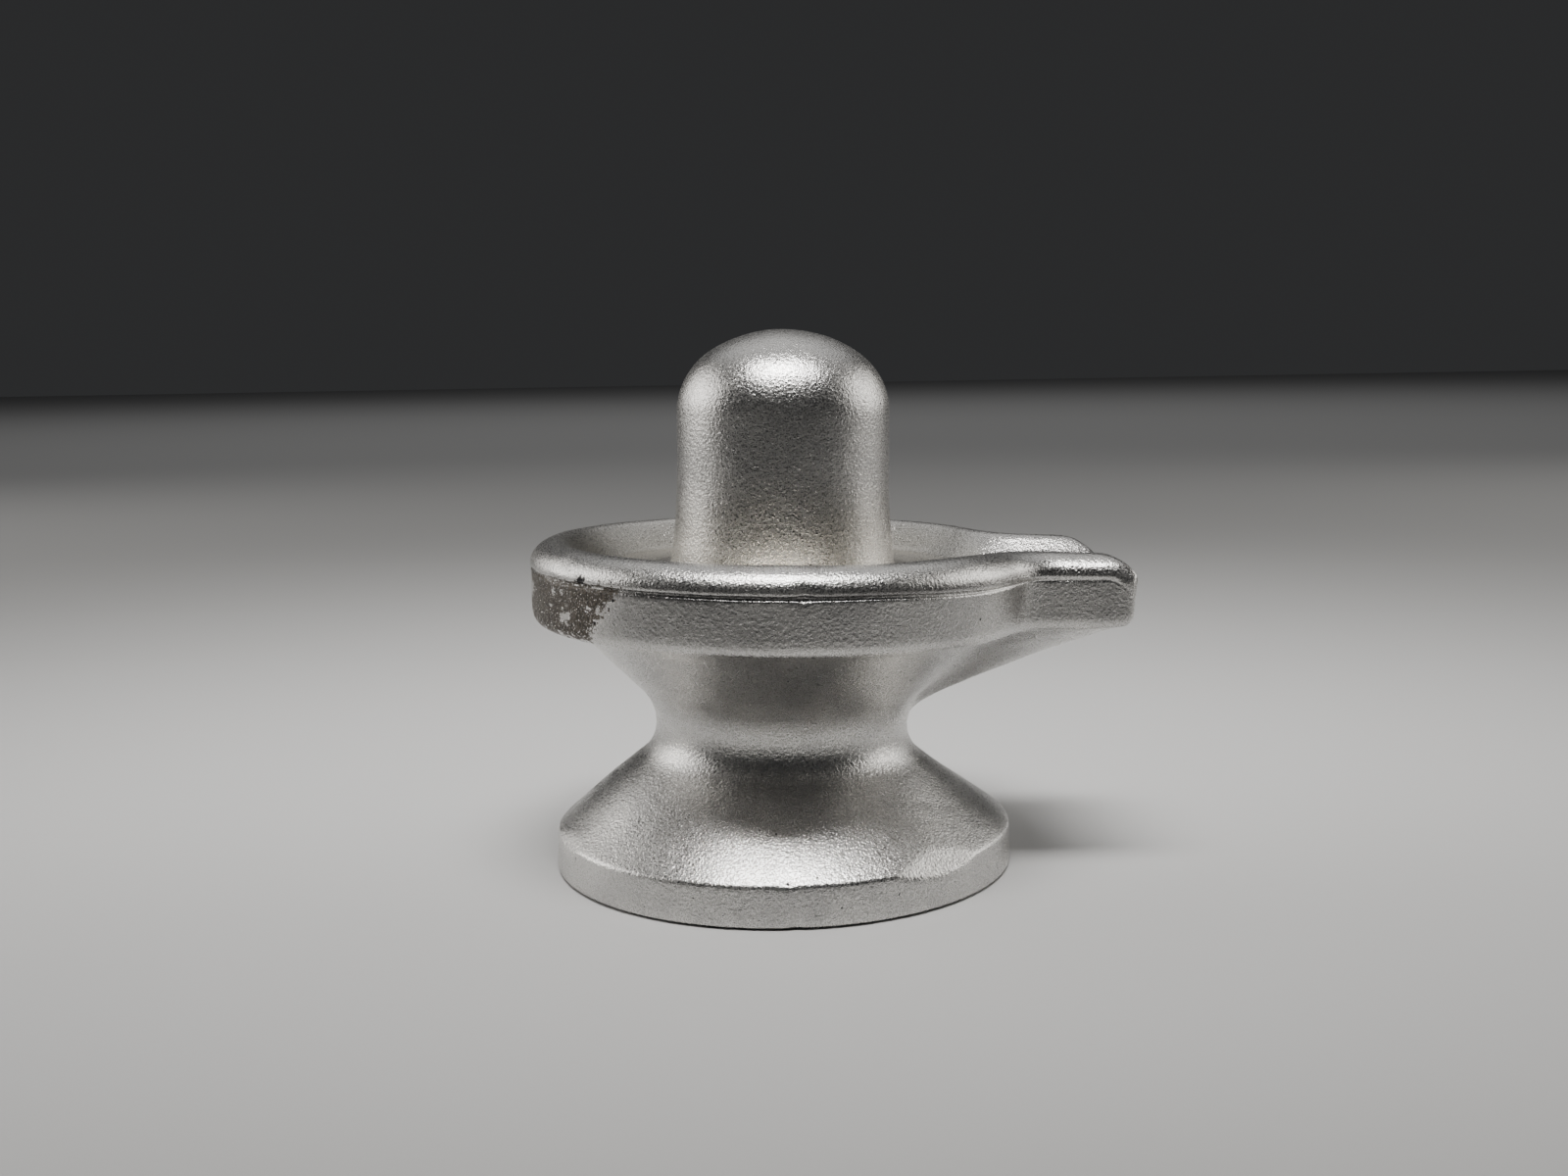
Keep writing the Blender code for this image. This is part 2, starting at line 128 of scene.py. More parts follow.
def filleted(corners, spacing):
    """Points along a line of (r, z, radius) corners, each rounded by its radius, at about one spacing."""
    line = [np.array(corners[0][:2], float)]
    for i in range(1, len(corners)):
        here = np.array(corners[i][:2], float)
        radius = corners[i][2] if i < len(corners) - 1 else 0
        arc = []
        if radius:
            back = np.array(corners[i - 1][:2]) - here
            on = np.array(corners[i + 1][:2]) - here
            back, on = back / np.linalg.norm(back), on / np.linalg.norm(on)
            half = math.acos(np.clip(back @ on, -1, 1)) / 2
            middle = (back + on) / np.linalg.norm(back + on)
            centre = here + middle * radius / math.sin(half)
            first, last = here + back * radius / math.tan(half), here + on * radius / math.tan(half)
            start = math.atan2(*(first - centre)[::-1])
            sweep = (math.atan2(*(last - centre)[::-1]) - start + math.pi) % (2 * math.pi) - math.pi
            steps = max(4, round(abs(sweep) * radius / spacing))
            angles = start + sweep * np.arange(steps + 1) / steps
            arc = [centre + radius * np.array((math.cos(a), math.sin(a))) for a in angles]
        target = arc[0] if arc else here
        run = np.linalg.norm(target - line[-1])
        steps = max(1, round(run / spacing))
        line += [line[-1] + (target - line[-1]) * k / steps for k in range(1, steps)] + (arc or [target])
    return np.array(line)


# Half outline of the foot and waist, from the middle of the underside up to where the bowl begins
sole = filleted([(0.0, 0, 0), (FOOT_RADIUS - SOLE_INSET, 0, 0)], SOLE_SPACING)
foot_side = filleted([
    (FOOT_RADIUS - EDGE_INSET, 0, 0),
    (FOOT_RADIUS, EDGE_RISE, EDGE_ROUND),
    (FOOT_RADIUS - BAND_DRAFT, FOOT_BAND, FOOT_CORNER),
    (WAIST_RADIUS, WAIST_LOW, WAIST_FILLET),
    (WAIST_RADIUS, WAIST_HIGH, WAIST_FILLET),
    (BOWL_RADIUS, UNDERSIDE, 0)], FOOT_SPACING)
foot = np.vstack([sole, foot_side])
foot = foot[foot[:, 1] < WAIST_MIDDLE]

# Across the top: bead, rounded inner edge, sloping wall and floor, as pairs of inset and height
bead_angles = np.radians(np.arange(0, 91, BEAD_STEP))
bead = np.column_stack([BEAD_OUT * (1 - np.cos(bead_angles)),
                        RIM_CREST - BEAD_UP * (1 - np.sin(bead_angles))])
wall_run = (RIM_CREST - TRAY_FLOOR) / math.tan(WALL_SLOPE)
wall = filleted([
    (BEAD_OUT, RIM_CREST, 0),
    (BEAD_OUT + CREST_FLAT, RIM_CREST, CREST_ROUND),
    (BEAD_OUT + CREST_FLAT + wall_run, TRAY_FLOOR, FLOOR_ROUND),
    (BEAD_OUT + wall_run + FLOOR_START, TRAY_FLOOR, 0)], WALL_SPACING)
top_section = np.vstack([bead, wall[1:]])

# Half outline of the shaft, from the tray's floor over the shoulder and the flatter crown
flare = FLARE_RADIUS - math.sqrt(FLARE_RADIUS ** 2 - (FLARE_FROM - TRAY_FLOOR) ** 2)
shaft_corner = filleted([
    (SHAFT_RADIUS + flare + CORNER_RUN, TRAY_FLOOR, 0),
    (SHAFT_RADIUS + flare, TRAY_FLOOR, CORNER_ROUND),
    (SHAFT_RADIUS + flare - CORNER_DRAFT, TRAY_FLOOR + CORNER_RISE, 0)], CORNER_SPACING)[1:-1]
flare_line = [(SHAFT_RADIUS + FLARE_RADIUS - math.sqrt(FLARE_RADIUS ** 2 - (FLARE_FROM - z) ** 2), z)
              for z in np.linspace(TRAY_FLOOR + CORNER_ROUND, FLARE_FROM, FLARE_POINTS)]
crown_z = SHAFT_TOP - DOME_RADIUS
shoulder_r = SHAFT_RADIUS - SHOULDER_RADIUS
shoulder_z = crown_z + math.sqrt((DOME_RADIUS - SHOULDER_RADIUS) ** 2 - shoulder_r ** 2)
meet = math.atan2(shoulder_z - crown_z, shoulder_r)
straight = [(SHAFT_RADIUS, z) for z in np.linspace(FLARE_FROM, shoulder_z, STRAIGHT_POINTS)[1:-1]]
shoulder = [(shoulder_r + SHOULDER_RADIUS * math.cos(a), shoulder_z + SHOULDER_RADIUS * math.sin(a))
            for a in np.linspace(0, meet, ARC_POINTS)]
crown = [(DOME_RADIUS * math.cos(a), crown_z + DOME_RADIUS * math.sin(a))
         for a in np.linspace(meet, math.pi / 2, ARC_POINTS)[1:]]
shaft = np.vstack([shaft_corner, flare_line, straight, shoulder, crown])

# The tray's plan: a disc that runs out into a straight spout, whose end is a little out of square. The
# corner between the two is melted by one blend at the band, a wider one at the bead and more inwards.
SPOUT_REACH, SPOUT_HALF, SPOUT_ROUND, END_SKEW = 29.97, 8.6, 1.3, 0.08
BAND_BLEND, BEAD_BLEND, INNER_BLEND = 2.1, 3.1, 0.4
HALVINGS = 36

# Where the columns are crowded: the insets that are watched, and how much a turn of one radian counts
CROWDING_SAMPLES, CROWDING_INSETS, CROWDING_BLEND, TURN_WEIGHT = 7201, (0.0, 3.2, 5.6), 1.6, 1.2


def melted(a, b, blend):
    """The lower of two values, with the edge where they cross melted into a fillet."""
    overlap = np.maximum(blend - np.abs(a - b), 0) / blend
    return np.minimum(a, b) - overlap * overlap * blend / 4


def from_outline(x, y, blend):
    """Distance outside the tray's plan: a disc that runs out into a bar with rounded corners."""
    over_x = np.maximum(x + END_SKEW * y - (SPOUT_REACH - SPOUT_ROUND), -x)
    over_y = np.abs(y) - (SPOUT_HALF - SPOUT_ROUND)
    bar = np.hypot(np.maximum(over_x, 0), np.maximum(over_y, 0)) + np.minimum(np.maximum(over_x, over_y), 0)
    return melted(np.hypot(x, y) - TRAY_RADIUS, bar - SPOUT_ROUND, blend)


def from_sides(x, y, blend):
    """Distance inside the same plan, but with the spout running on past its end."""
    return -melted(np.hypot(x, y) - TRAY_RADIUS, np.maximum(np.abs(y) - SPOUT_HALF, -x), blend)


def reach(angles, inset, blend):
    """How far from the axis the outline lies in each direction, after it is moved in."""
    low, high = np.zeros_like(angles), np.full_like(angles, 2 * SPOUT_REACH)
    for _ in range(HALVINGS):
        middle = (low + high) / 2
        inside = from_outline(middle * np.cos(angles), middle * np.sin(angles), blend) < -inset
        low, high = np.where(inside, middle, low), np.where(inside, high, middle)
    return low


def crowded_columns():
    """Directions of the columns, crowded where the outline or the channel's wall turns away."""
    angles = np.linspace(0, 2 * math.pi, CROWDING_SAMPLES)
    travelled = np.zeros_like(angles)
    for inset in CROWDING_INSETS:
        distance = reach(angles, inset, CROWDING_BLEND)
        x, y = distance * np.cos(angles), distance * np.sin(angles)
        heading = np.unwrap(np.arctan2(np.diff(y), np.diff(x)))
        turn = np.abs(np.diff(heading, prepend=heading[0]))
        travelled[1:] += np.cumsum(np.hypot(np.diff(x), np.diff(y)) + TURN_WEIGHT * turn)
    return np.interp(np.arange(COLUMNS) / COLUMNS * travelled[-1], travelled, angles)


def on_outline(inset, blend):
    """The outline's place in each column, after it is moved in."""
    distance = reach(columns, inset, blend)
    return np.column_stack([distance * np.cos(columns), distance * np.sin(columns)])


columns = crowded_columns()

# The groove under the bead, as pairs of depth and rise above its lowest line. It is shallower along the
# spout, in two steps given as where each begins and ends and its share, and dips round the spout's end.
GROOVE_HEIGHT, SPOUT_GROOVE, GROOVE_WIDTH = 26.95, 26.65, 0.5
GROOVE_SINK_FROM, GROOVE_SINK_TO = 6.0, 18.0
GROOVE_DIP, DIP_BEFORE, DIP_BEYOND = 1.15, 1.8, 0.1
GROOVE_CUTS = ((0.12, 0.05), (0.24, 0.11), (0.29, 0.20), (0.22, 0.31), (0.08, 0.42))
GROOVE_SHALLOWS, SHALLOWEST = ((15.0, 24.0, 0.6), (26.0, 29.0, 0.35)), 0.06

# The spout's walls stand lower than the rim from its root on, and their crests roll down at the end,
# under a cap that is put clear of them everywhere else
ROOT_FROM, ROOT_TO = 14.0, 21.0
SPOUT_CREST, SPOUT_FALL, SPOUT_TWIST = 29.2, 0.025, 0.012
SPOUT_END, SPOUT_END_ROUND, END_SWELL, END_BLEND = 26.25, 3.4, 0.5, 0.5
CLEAR_OF_CREST = 9.0


def groove_line(x):
    """Height of the groove under the bead: it sinks a little towards the spout and dips round its end."""
    along = GROOVE_HEIGHT + (SPOUT_GROOVE - GROOVE_HEIGHT) * eased(x, GROOVE_SINK_FROM, GROOVE_SINK_TO)
    return along - GROOVE_DIP * eased(x, SPOUT_REACH - DIP_BEFORE, SPOUT_REACH + DIP_BEYOND)


def fallen(x):
    """How far the crest lies under the rim's, along the spout."""
    return SPOUT_FALL * np.maximum(x - ROOT_TO, 0) + (RIM_CREST - SPOUT_CREST) * eased(x, ROOT_FROM, ROOT_TO)


def top_height(x, y):
    """Height of bead, wall and floor; the walls' crests roll down at the spout's open end."""
    inset = np.maximum(from_sides(x, y, BEAD_BLEND), 0)
    inset = np.maximum(from_sides(x, y, BEAD_BLEND + INNER_BLEND * inset), 0)
    plain = np.interp(inset, top_section[:, 0], top_section[:, 1])
    crest = RIM_CREST - fallen(x) + SPOUT_TWIST * y * eased(x, ROOT_FROM, ROOT_TO)
    base = groove_line(x) + GROOVE_WIDTH
    on_bead = np.clip((plain - (RIM_CREST - BEAD_UP)) / BEAD_UP, 0, 1)
    outer = base + (crest - base) * on_bead
    share = np.clip((plain - TRAY_FLOOR) / (RIM_CREST - TRAY_FLOOR), 0, 1)
    inner_side = TRAY_FLOOR + (crest - TRAY_FLOOR) * share
    height = np.where(inset < BEAD_OUT, outer, inner_side)
    from_end = np.clip(SPOUT_REACH - END_SKEW * y - x, 0, SPOUT_END_ROUND) / SPOUT_END_ROUND
    cap = SPOUT_END + (crest - SPOUT_END) * np.sqrt(1 - (1 - from_end) ** 2) + END_SWELL * from_end ** 3
    cap = np.where(from_end >= 1, crest + CLEAR_OF_CREST, cap)
    return melted(height, cap, END_BLEND)


# Under the tray: the bowl's cone and the flatter ring beyond it, and the keel that runs up to the
# spout's end, with a flat lip under each of its sides that lifts a little towards the end
RING_SLOPE, CONE_BLEND, BOWL_FILLET = 0.12, 1.3, 1.35
KEEL_START, KEEL_END, KEEL_ARCH, KEEL_ROUND, KEEL_BLEND = 14.1, 21.45, 0.32, 1.3, 2.6
SIDE_FOOT, SIDE_LIP, LIP_LIFT, LIP_LIFT_FROM = 23.45, 22.35, 0.5, 24.0
LIP_FROM, LIP_TO, LIP_INNER, LIP_OUTER = 17.5, 21.5, 5.2, 7.3


def under_plain(x, y):
    """The underside before its waist fillet: the bowl's cone, the flat beyond it, and the spout's keel."""
    radius = np.hypot(x, y)
    cone = WAIST_HIGH + (UNDERSIDE - WAIST_HIGH) / (BOWL_RADIUS - WAIST_RADIUS) * (radius - WAIST_RADIUS)
    ring = UNDERSIDE + RING_SLOPE * (radius - BOWL_RADIUS) + np.maximum(radius - TRAY_RADIUS, 0)
    low = melted(cone, ring, CONE_BLEND)
    along = (x - WAIST_RADIUS) / (SPOUT_REACH - WAIST_RADIUS)
    keel = KEEL_START + (KEEL_END - KEEL_START) * along + KEEL_ARCH * np.sin(math.pi * np.clip(along, 0, 1))
    across = (np.hypot(y, KEEL_ROUND) - KEEL_ROUND) / (SPOUT_HALF - KEEL_ROUND)
    keeled = melted(low, keel + (SIDE_FOOT - keel) * across, KEEL_BLEND)
    lip = SIDE_LIP + LIP_LIFT * eased(x, LIP_LIFT_FROM, SPOUT_REACH)
    on_lip = eased(np.abs(y), LIP_INNER, LIP_OUTER)
    keeled = keeled + (lip - keeled) * eased(x, LIP_FROM, LIP_TO) * on_lip
    return np.where(x > 0, keeled, low)


def under_height(x, y):
    """Height of the underside; next to the waist it curves down into the upright wall."""
    angle = np.arctan2(y, x)
    drop = under_plain(WAIST_RADIUS * np.cos(angle), WAIST_RADIUS * np.sin(angle)) - WAIST_MIDDLE
    out = np.clip((np.hypot(x, y) - WAIST_RADIUS) / BOWL_FILLET, 0, 1)
    return under_plain(x, y) - drop * (1 - np.sqrt(1 - (1 - out) ** 2))


# The lip and the band above it. The band leans out a little, and its rings close up towards the groove.
LIP_ROUND, LIP_ANGLES = 1.1, np.radians([18, 36, 54, 72, 90])
BAND_INSET, BAND_LEAN = 0.16, 0.5
BAND_LEVELS = (0.14, 0.28, 0.42, 0.56, 0.70, 0.80, 0.88, 0.945, 1.0)
bowl_shares = (np.arange(BOWL_RINGS + 1) / BOWL_RINGS) ** BOWL_CROWDING
floor_shares = np.arange(1, FLOOR_RINGS + 1) / (FLOOR_RINGS + 1)


def tray_rings():
    """Where every vertex of the tray's rings lies, from the waist outwards, over the rim and back in."""
    rings = []
    start = np.column_stack([WAIST_RADIUS * np.cos(columns), WAIST_RADIUS * np.sin(columns)])
    lip = on_outline(BAND_INSET + LIP_ROUND, BAND_BLEND)
    for share in bowl_shares:
        plan = start + (lip - start) * share
        rings.append(np.column_stack([plan, under_height(*plan.T)]))
    low = rings[-1][:, 2]
    for angle in LIP_ANGLES:
        plan = on_outline(BAND_INSET + LIP_ROUND * (1 - math.sin(angle)), BAND_BLEND)
        rings.append(np.column_stack([plan, low + LIP_ROUND * (1 - math.cos(angle))]))
    foot_of_band = rings[-1][:, 2]
    for level_share in BAND_LEVELS:
        plan = on_outline(BAND_INSET * (1 - BAND_LEAN * level_share), BAND_BLEND)
        top = groove_line(plan[:, 0])
        rings.append(np.column_stack([plan, foot_of_band + (top - foot_of_band) * level_share]))
    for depth, rise in GROOVE_CUTS:
        blend = BAND_BLEND + (BEAD_BLEND - BAND_BLEND) * rise / GROOVE_WIDTH
        plan = on_outline(depth, blend)
        shallow = sum(eased(plan[:, :1], begins, ends) * share for begins, ends, share in GROOVE_SHALLOWS)
        plan = plan + (on_outline(SHALLOWEST, blend) - plan) * shallow
        rings.append(np.column_stack([plan, groove_line(plan[:, 0]) + rise]))
    for inset in top_section[:, 0]:
        plan = on_outline(inset, BEAD_BLEND + INNER_BLEND * inset)
        rings.append(np.column_stack([plan, top_height(*plan.T)]))
    last = rings[-1][:, :2]
    first = np.column_stack([shaft[0, 0] * np.cos(columns), shaft[0, 0] * np.sin(columns)])
    for share in floor_shares:
        plan = last + (first - last) * share
        rings.append(np.column_stack([plan, top_height(*plan.T)]))
    return rings


# The half outline as one line: turned foot, the tray's rings opposite the spout, turned shaft
MERGED_WITHIN = 0.0005
tray = tray_rings()
far_column = int(np.argmin(np.abs(columns - math.pi)))
tray_outline = np.array([(np.hypot(*ring[far_column, :2]), ring[far_column, 2]) for ring in tray])
half_outline = np.vstack([foot, tray_outline, shaft])
half_outline[0, 0] = half_outline[-1, 0] = 0.0

bpy.ops.object.select_all(action="DESELECT")
bpy.ops.curve.primitive_bezier_curve_add()
drawn = bpy.context.object
drawn.name = "casting"
drawn.data.splines.clear()
line = drawn.data.splines.new("POLY")
line.points.add(len(half_outline) - 1)
for point, (r, z) in zip(line.points, half_outline):
    point.co = (r, 0, z, 1)
bpy.ops.object.convert(target="MESH")
casting = bpy.context.object
lathe = casting.modifiers.new("lathe", "SCREW")
lathe.axis, lathe.angle = "Z", 2 * math.pi
lathe.steps = lathe.render_steps = COLUMNS
lathe.use_merge_vertices, lathe.merge_threshold = True, MERGED_WITHIN
bpy.ops.object.modifier_apply(modifier="lathe")
bpy.ops.object.mode_set(mode="EDIT")
bpy.ops.mesh.select_all(action="SELECT")
bpy.ops.mesh.remove_doubles(threshold=MERGED_WITHIN)
bpy.ops.mesh.normals_make_consistent(inside=False)
bpy.ops.object.mode_set(mode="OBJECT")

# The spout is drawn out: each vertex of the spun tray moves along its own column to its real place.
# Its ring is found by the nearest point of the half outline, for a block of vertices at a time.
BLOCK = 4000
count = len(casting.data.vertices)
places = np.empty(count * 3)
casting.data.vertices.foreach_get("co", places)
places = places.reshape(-1, 3)
radii = np.hypot(places[:, 0], places[:, 1])
turned = np.degrees(np.arctan2(places[:, 1], places[:, 0])) % 360
column_of = np.round(turned / 360 * COLUMNS).astype(int) % COLUMNS
ring_of = np.empty(count, int)
for block in range(0, count, BLOCK):
    part = slice(block, block + BLOCK)
    apart = np.hypot(radii[part, None] - half_outline[None, :, 0],
                     places[part, 2, None] - half_outline[None, :, 1])
    ring_of[part] = np.argmin(apart, axis=1)
tray_places = np.array(tray)
in_tray = (ring_of >= len(foot)) & (ring_of < len(foot) + len(tray))
places[:, 0], places[:, 1] = radii * np.cos(columns[column_of]), radii * np.sin(columns[column_of])
places[in_tray] = tray_places[ring_of[in_tray] - len(foot), column_of[in_tray]]

# The upper body stands a little out of true on the foot, towards the spout
LEAN, LEAN_PIVOT = math.radians(1.3), 13.0
LEAN_FROM, LEAN_TO = 3.6, 9.0
lean = eased(places[:, 2], LEAN_FROM, LEAN_TO) * LEAN
high = places[:, 2] - LEAN_PIVOT
places[:, 0], places[:, 2] = (places[:, 0] * np.cos(lean) + high * np.sin(lean),
                              LEAN_PIVOT + high * np.cos(lean) - places[:, 0] * np.sin(lean))

# The sand left waves in the skin, slow and fine ones, each with its frequency and height. They fade out
# at the underside.
SLOW_WAVE, SLOW_HEIGHT, FINE_WAVE, FINE_HEIGHT = 0.23, 0.05, 0.8, 0.008
WAVES_FROM, WAVES_TO = 0.0, 0.8

# Later knocks and files left small flats, as bearing, tilt and distance from the middle of the foot,
# dents, as place, radius and depth, and a crease at the left of the waist, as a line of places
FLATS, FLATS_BELOW = ((-50, 38, 18.05), (-158, 35, 18.74)), 9
DENTS = (
    ((0.25, -20.3, 3.8), 0.45, 0.16),
    ((1.0, -20.8, 0.4), 0.6, 0.14),
    ((1.9, -22.35, 27.3), 0.6, 0.16),
    ((2.3, -22.4, 27.8), 0.5, 0.10),
    ((-17.6, -12.9, 29.1), 0.65, 0.09),
    ((-16.2, -15.4, 27.8), 0.55, 0.14),
    ((-17.3, 1.9, 6.4), 0.5, 0.14),
    ((-15.3, -0.5, 8.2), 0.4, 0.12),
    ((12.2, -9.65, 7.3), 0.4, 0.08),
)
CREASE = ((-11.5, -4.6, 16.1), (-11.3, -5.2, 15.8), (-10.1, -6.3, 14.9), (-8.3, -8.3, 14.4))
CREASE_RADIUS, CREASE_DEPTH = 0.4, 0.06


def nearness(apart, radius):
    """1 at the place itself, fading to almost 0 at twice the radius."""
    return np.exp(-(apart / radius) ** 2)


casting.data.vertices.foreach_set("co", places.ravel())
casting.data.update()
outward = np.empty(count * 3)
casting.data.vertices.foreach_get("normal", outward)
outward = outward.reshape(-1, 3)
waves = np.array([noise.noise(Vector(p) * SLOW_WAVE) * SLOW_HEIGHT
                  + noise.noise(Vector(p) * FINE_WAVE) * FINE_HEIGHT for p in places])
waves *= eased(places[:, 2], WAVES_FROM, WAVES_TO)
places += outward * waves[:, None]
for bearing, tilt, distance in FLATS:
    bearing, tilt = math.radians(bearing), math.radians(tilt)
    flat = np.array((math.cos(tilt) * math.cos(bearing), math.cos(tilt) * math.sin(bearing), math.sin(tilt)))
    beyond = np.where(places[:, 2] < FLATS_BELOW, np.maximum(places @ flat - distance, 0), 0)
    places -= beyond[:, None] * flat
for place, radius, depth in DENTS:
    apart = np.linalg.norm(places - np.array(place), axis=1)
    places -= outward * (depth * nearness(apart, radius))[:, None]
for start, end in zip(CREASE, CREASE[1:]):
    start = np.array(start)
    run = np.array(end) - start
    along = np.clip((places - start) @ run / (run @ run), 0, 1)
    apart = np.linalg.norm(places - start - along[:, None] * run, axis=1)
    places -= outward * (CREASE_DEPTH * nearness(apart, CREASE_RADIUS))[:, None]
casting.data.vertices.foreach_set("co", (places * MM).ravel())
casting.data.update()
bpy.ops.object.shade_smooth()

# The skin has rubbed off the band at the left. The patch ends at a slanted edge on the right, at a wavy
# one on the left and at a top and a foot. Bearings are degrees, and a weight says how sharp an edge is.
PATCH_RIGHT, PATCH_SLANT, SLANT_FROM, RIGHT_WEIGHT = -125.5, 2.2, 27.1, 0.39
PATCH_LEFT, LEFT_WAVE, LEFT_FREQUENCY, LEFT_WEIGHT = -168.0, 4.0, 2.1, 0.2
PATCH_TOP, PATCH_FOOT, HEIGHT_WEIGHT = 27.6, 22.9, 1.6
PATCH_EDGE, PATCH_GAIN, PATCH_MOST, BAND_FROM = 0.5, 0.17, 0.76, 21.0

# Islands in the patch, as place and radius, where the skin has held
ISLANDS = (
    ((-18.9, -11.8, 26.6), 0.45),
    ((-18.0, -13.1, 26.7), 0.3),
    ((-17.3, -13.9, 24.65), 0.45),
    ((-18.1, -12.9, 24.5), 0.45),
    ((-17.7, -13.4, 24.6), 0.40),
    ((-15.4, -16.1, 25.9), 0.35),
    ((-14.6, -16.9, 25.6), 0.30),
    ((-19.1, -11.4, 25.4), 0.25),
)
ISLAND_STRENGTH = 0.4

# The tray and the shaft's lower part have yellowed, and painted shade darkens the groove and the corner
YELLOW_TOP, YELLOW_FULL, YELLOW_ABOVE, YELLOW_OUT, YELLOW_IN = 37.0, 28.0, 26.5, 21.0, 17.5
GROOVE_SHADE_HEIGHT, GROOVE_SHADE_SPREAD = 27.2, 0.28
CORNER_SHADE_HEIGHT, CORNER_SHADE_SPREAD, CORNER_WITHIN = 27.0, 0.35, 12.0

heights, from_axis = places[:, 2], np.hypot(places[:, 0], places[:, 1])
bearings = np.degrees(np.arctan2(places[:, 1], places[:, 0]))
from_right = (PATCH_RIGHT - (SLANT_FROM - heights) * PATCH_SLANT - bearings) * RIGHT_WEIGHT
from_left = (bearings - PATCH_LEFT + LEFT_WAVE * np.sin(LEFT_FREQUENCY * heights)) * LEFT_WEIGHT
from_ends = np.minimum(PATCH_TOP - heights, heights - PATCH_FOOT) * HEIGHT_WEIGHT
inside = np.minimum(np.minimum(from_right, from_left), from_ends)
rubbed = np.where(from_axis > BAND_FROM, np.clip(PATCH_EDGE + inside * PATCH_GAIN, 0, PATCH_MOST), 0)
for place, radius in ISLANDS:
    rubbed -= ISLAND_STRENGTH * nearness(np.linalg.norm(places - np.array(place), axis=1), radius)
yellowed = eased(heights, YELLOW_TOP, YELLOW_FULL) * (heights > YELLOW_ABOVE)
yellowed = yellowed * eased(from_axis, YELLOW_OUT, YELLOW_IN)
# Painted shade: the groove under the bead and the corner where the shaft meets the tray's floor are darkened
# in the colour
groove_shade = np.where(from_axis > BAND_FROM, nearness(heights - GROOVE_SHADE_HEIGHT, GROOVE_SHADE_SPREAD), 0)
corner_shade = nearness(heights - CORNER_SHADE_HEIGHT, CORNER_SHADE_SPREAD)
corner_shade = np.where(from_axis < CORNER_WITHIN, corner_shade, 0)
painted_shade = np.maximum(groove_shade, corner_shade)
for name, values in (("rubbed", rubbed), ("yellowed", yellowed), ("painted_shade", painted_shade)):
    layer = casting.data.attributes.new(name, "FLOAT", "POINT")
    layer.data.foreach_set("value", np.clip(values, 0, 1).astype(np.float32))

# Silver-grey metal with a fine blasted grain, all of it from Object coordinates in millimetres
SILVER_LIGHT, SILVER_DULL = (0.69, 0.675, 0.65, 1), (0.57, 0.56, 0.545, 1)
SILVER_YELLOW, GRAIN_SHADE = (0.66, 0.615, 0.52, 1), (0.30, 0.29, 0.28, 1)
# The first colour on the next line is painted shade for the groove and the shaft's corner
PAINTED_SHADE_COLOUR, PIT_COLOUR = (0.09, 0.085, 0.085, 1), (0.02, 0.019, 0.02, 1)
BARE_DARK, BARE_LIGHT = (0.060, 0.054, 0.047, 1), (0.125, 0.110, 0.092, 1)
SKIN_ROUGHEST, SKIN_SMOOTHEST, BARE_ROUGHNESS = 0.36, 0.20, 0.55
silver = bpy.data.materials.new("cast_silver")
silver.use_nodes = True
nodes, links = silver.node_tree.nodes, silver.node_tree.links
shader = nodes["Principled BSDF"]
shader.inputs["Metallic"].default_value = 1.0


def wired(kind, sockets, result=0, **settings):
    """One more node, with its sockets set or wired, and the output that is used."""
    made = nodes.new("ShaderNode" + kind)
    for name, value in settings.items():
        setattr(made, name, value)
    for socket, value in sockets.items():
        if isinstance(value, bpy.types.NodeSocket):
            links.new(value, made.inputs[socket])
        else:
            made.inputs[socket].default_value = value
    return made.outputs[result]


def mottle(place, scale, detail, roughness, distortion=0.0):
    """Noise with so many waves to a millimetre."""
    return wired("TexNoise", {"Vector": place, "Scale": scale, "Detail": detail, "Roughness": roughness,
                              "Distortion": distortion})


def product(a, b):
    return wired("Math", {0: a, 1: b}, operation="MULTIPLY")


def total(a, b):
    return wired("Math", {0: a, 1: b}, operation="ADD")


def weighed(value, weight, rest):
    """The value times its weight, and the rest added."""
    return wired("Math", {0: value, 1: weight, 2: rest}, operation="MULTIPLY_ADD")


def graded(value, low, high, first=0.0, last=1.0):
    """First up to low and last from high on, with a smooth turn between the two."""
    return wired("MapRange", {"Value": value, "From Min": low, "From Max": high,
                              "To Min": first, "To Max": last}, interpolation_type="SMOOTHSTEP")


def blended(share, below, above):
    """One colour at share 0 and the other at share 1."""
    return wired("Mix", {0: share, 6: below, 7: above}, 2, data_type="RGBA")


def marked(name):
    """A share that is kept on the mesh's points."""
    return wired("Attribute", {}, 2, attribute_name=name)


spot = wired("VectorMath", {0: wired("TexCoord", {}, 3), "Scale": 1 / MM}, operation="SCALE")
coarse = mottle(spot, scale=1.1, detail=3.0, roughness=0.6)
grain = mottle(spot, scale=3.9, detail=2.0, roughness=0.6)
sparkle = mottle(spot, scale=7.5, detail=1.0, roughness=0.5)
cloud = mottle(spot, scale=0.17, detail=4.0, roughness=0.55)
ragged = mottle(spot, scale=2.1, detail=5.0, roughness=0.66, distortion=0.3)
drawn_out = wired("VectorMath", {0: spot, 1: (0.5, 0.5, 1.35)}, operation="MULTIPLY")
worn = mottle(drawn_out, scale=1.9, detail=5.0, roughness=0.66, distortion=0.3)
rubbed_share, yellow_share, painted_shade_share = marked("rubbed"), marked("yellowed"), marked("painted_shade")

# Pinholes in the skin: small dark pits, thinly spread
PIT_CELLS, PIT_RAGGED, PIT_INNER, PIT_OUTER = 0.42, 0.12, 0.075, 0.11
cells = wired("TexVoronoi", {"Vector": spot, "Scale": PIT_CELLS, "Randomness": 1.0})
pinholes = graded(total(cells, product(sparkle, PIT_RAGGED)), PIT_INNER, PIT_OUTER, 1.0, 0.0)

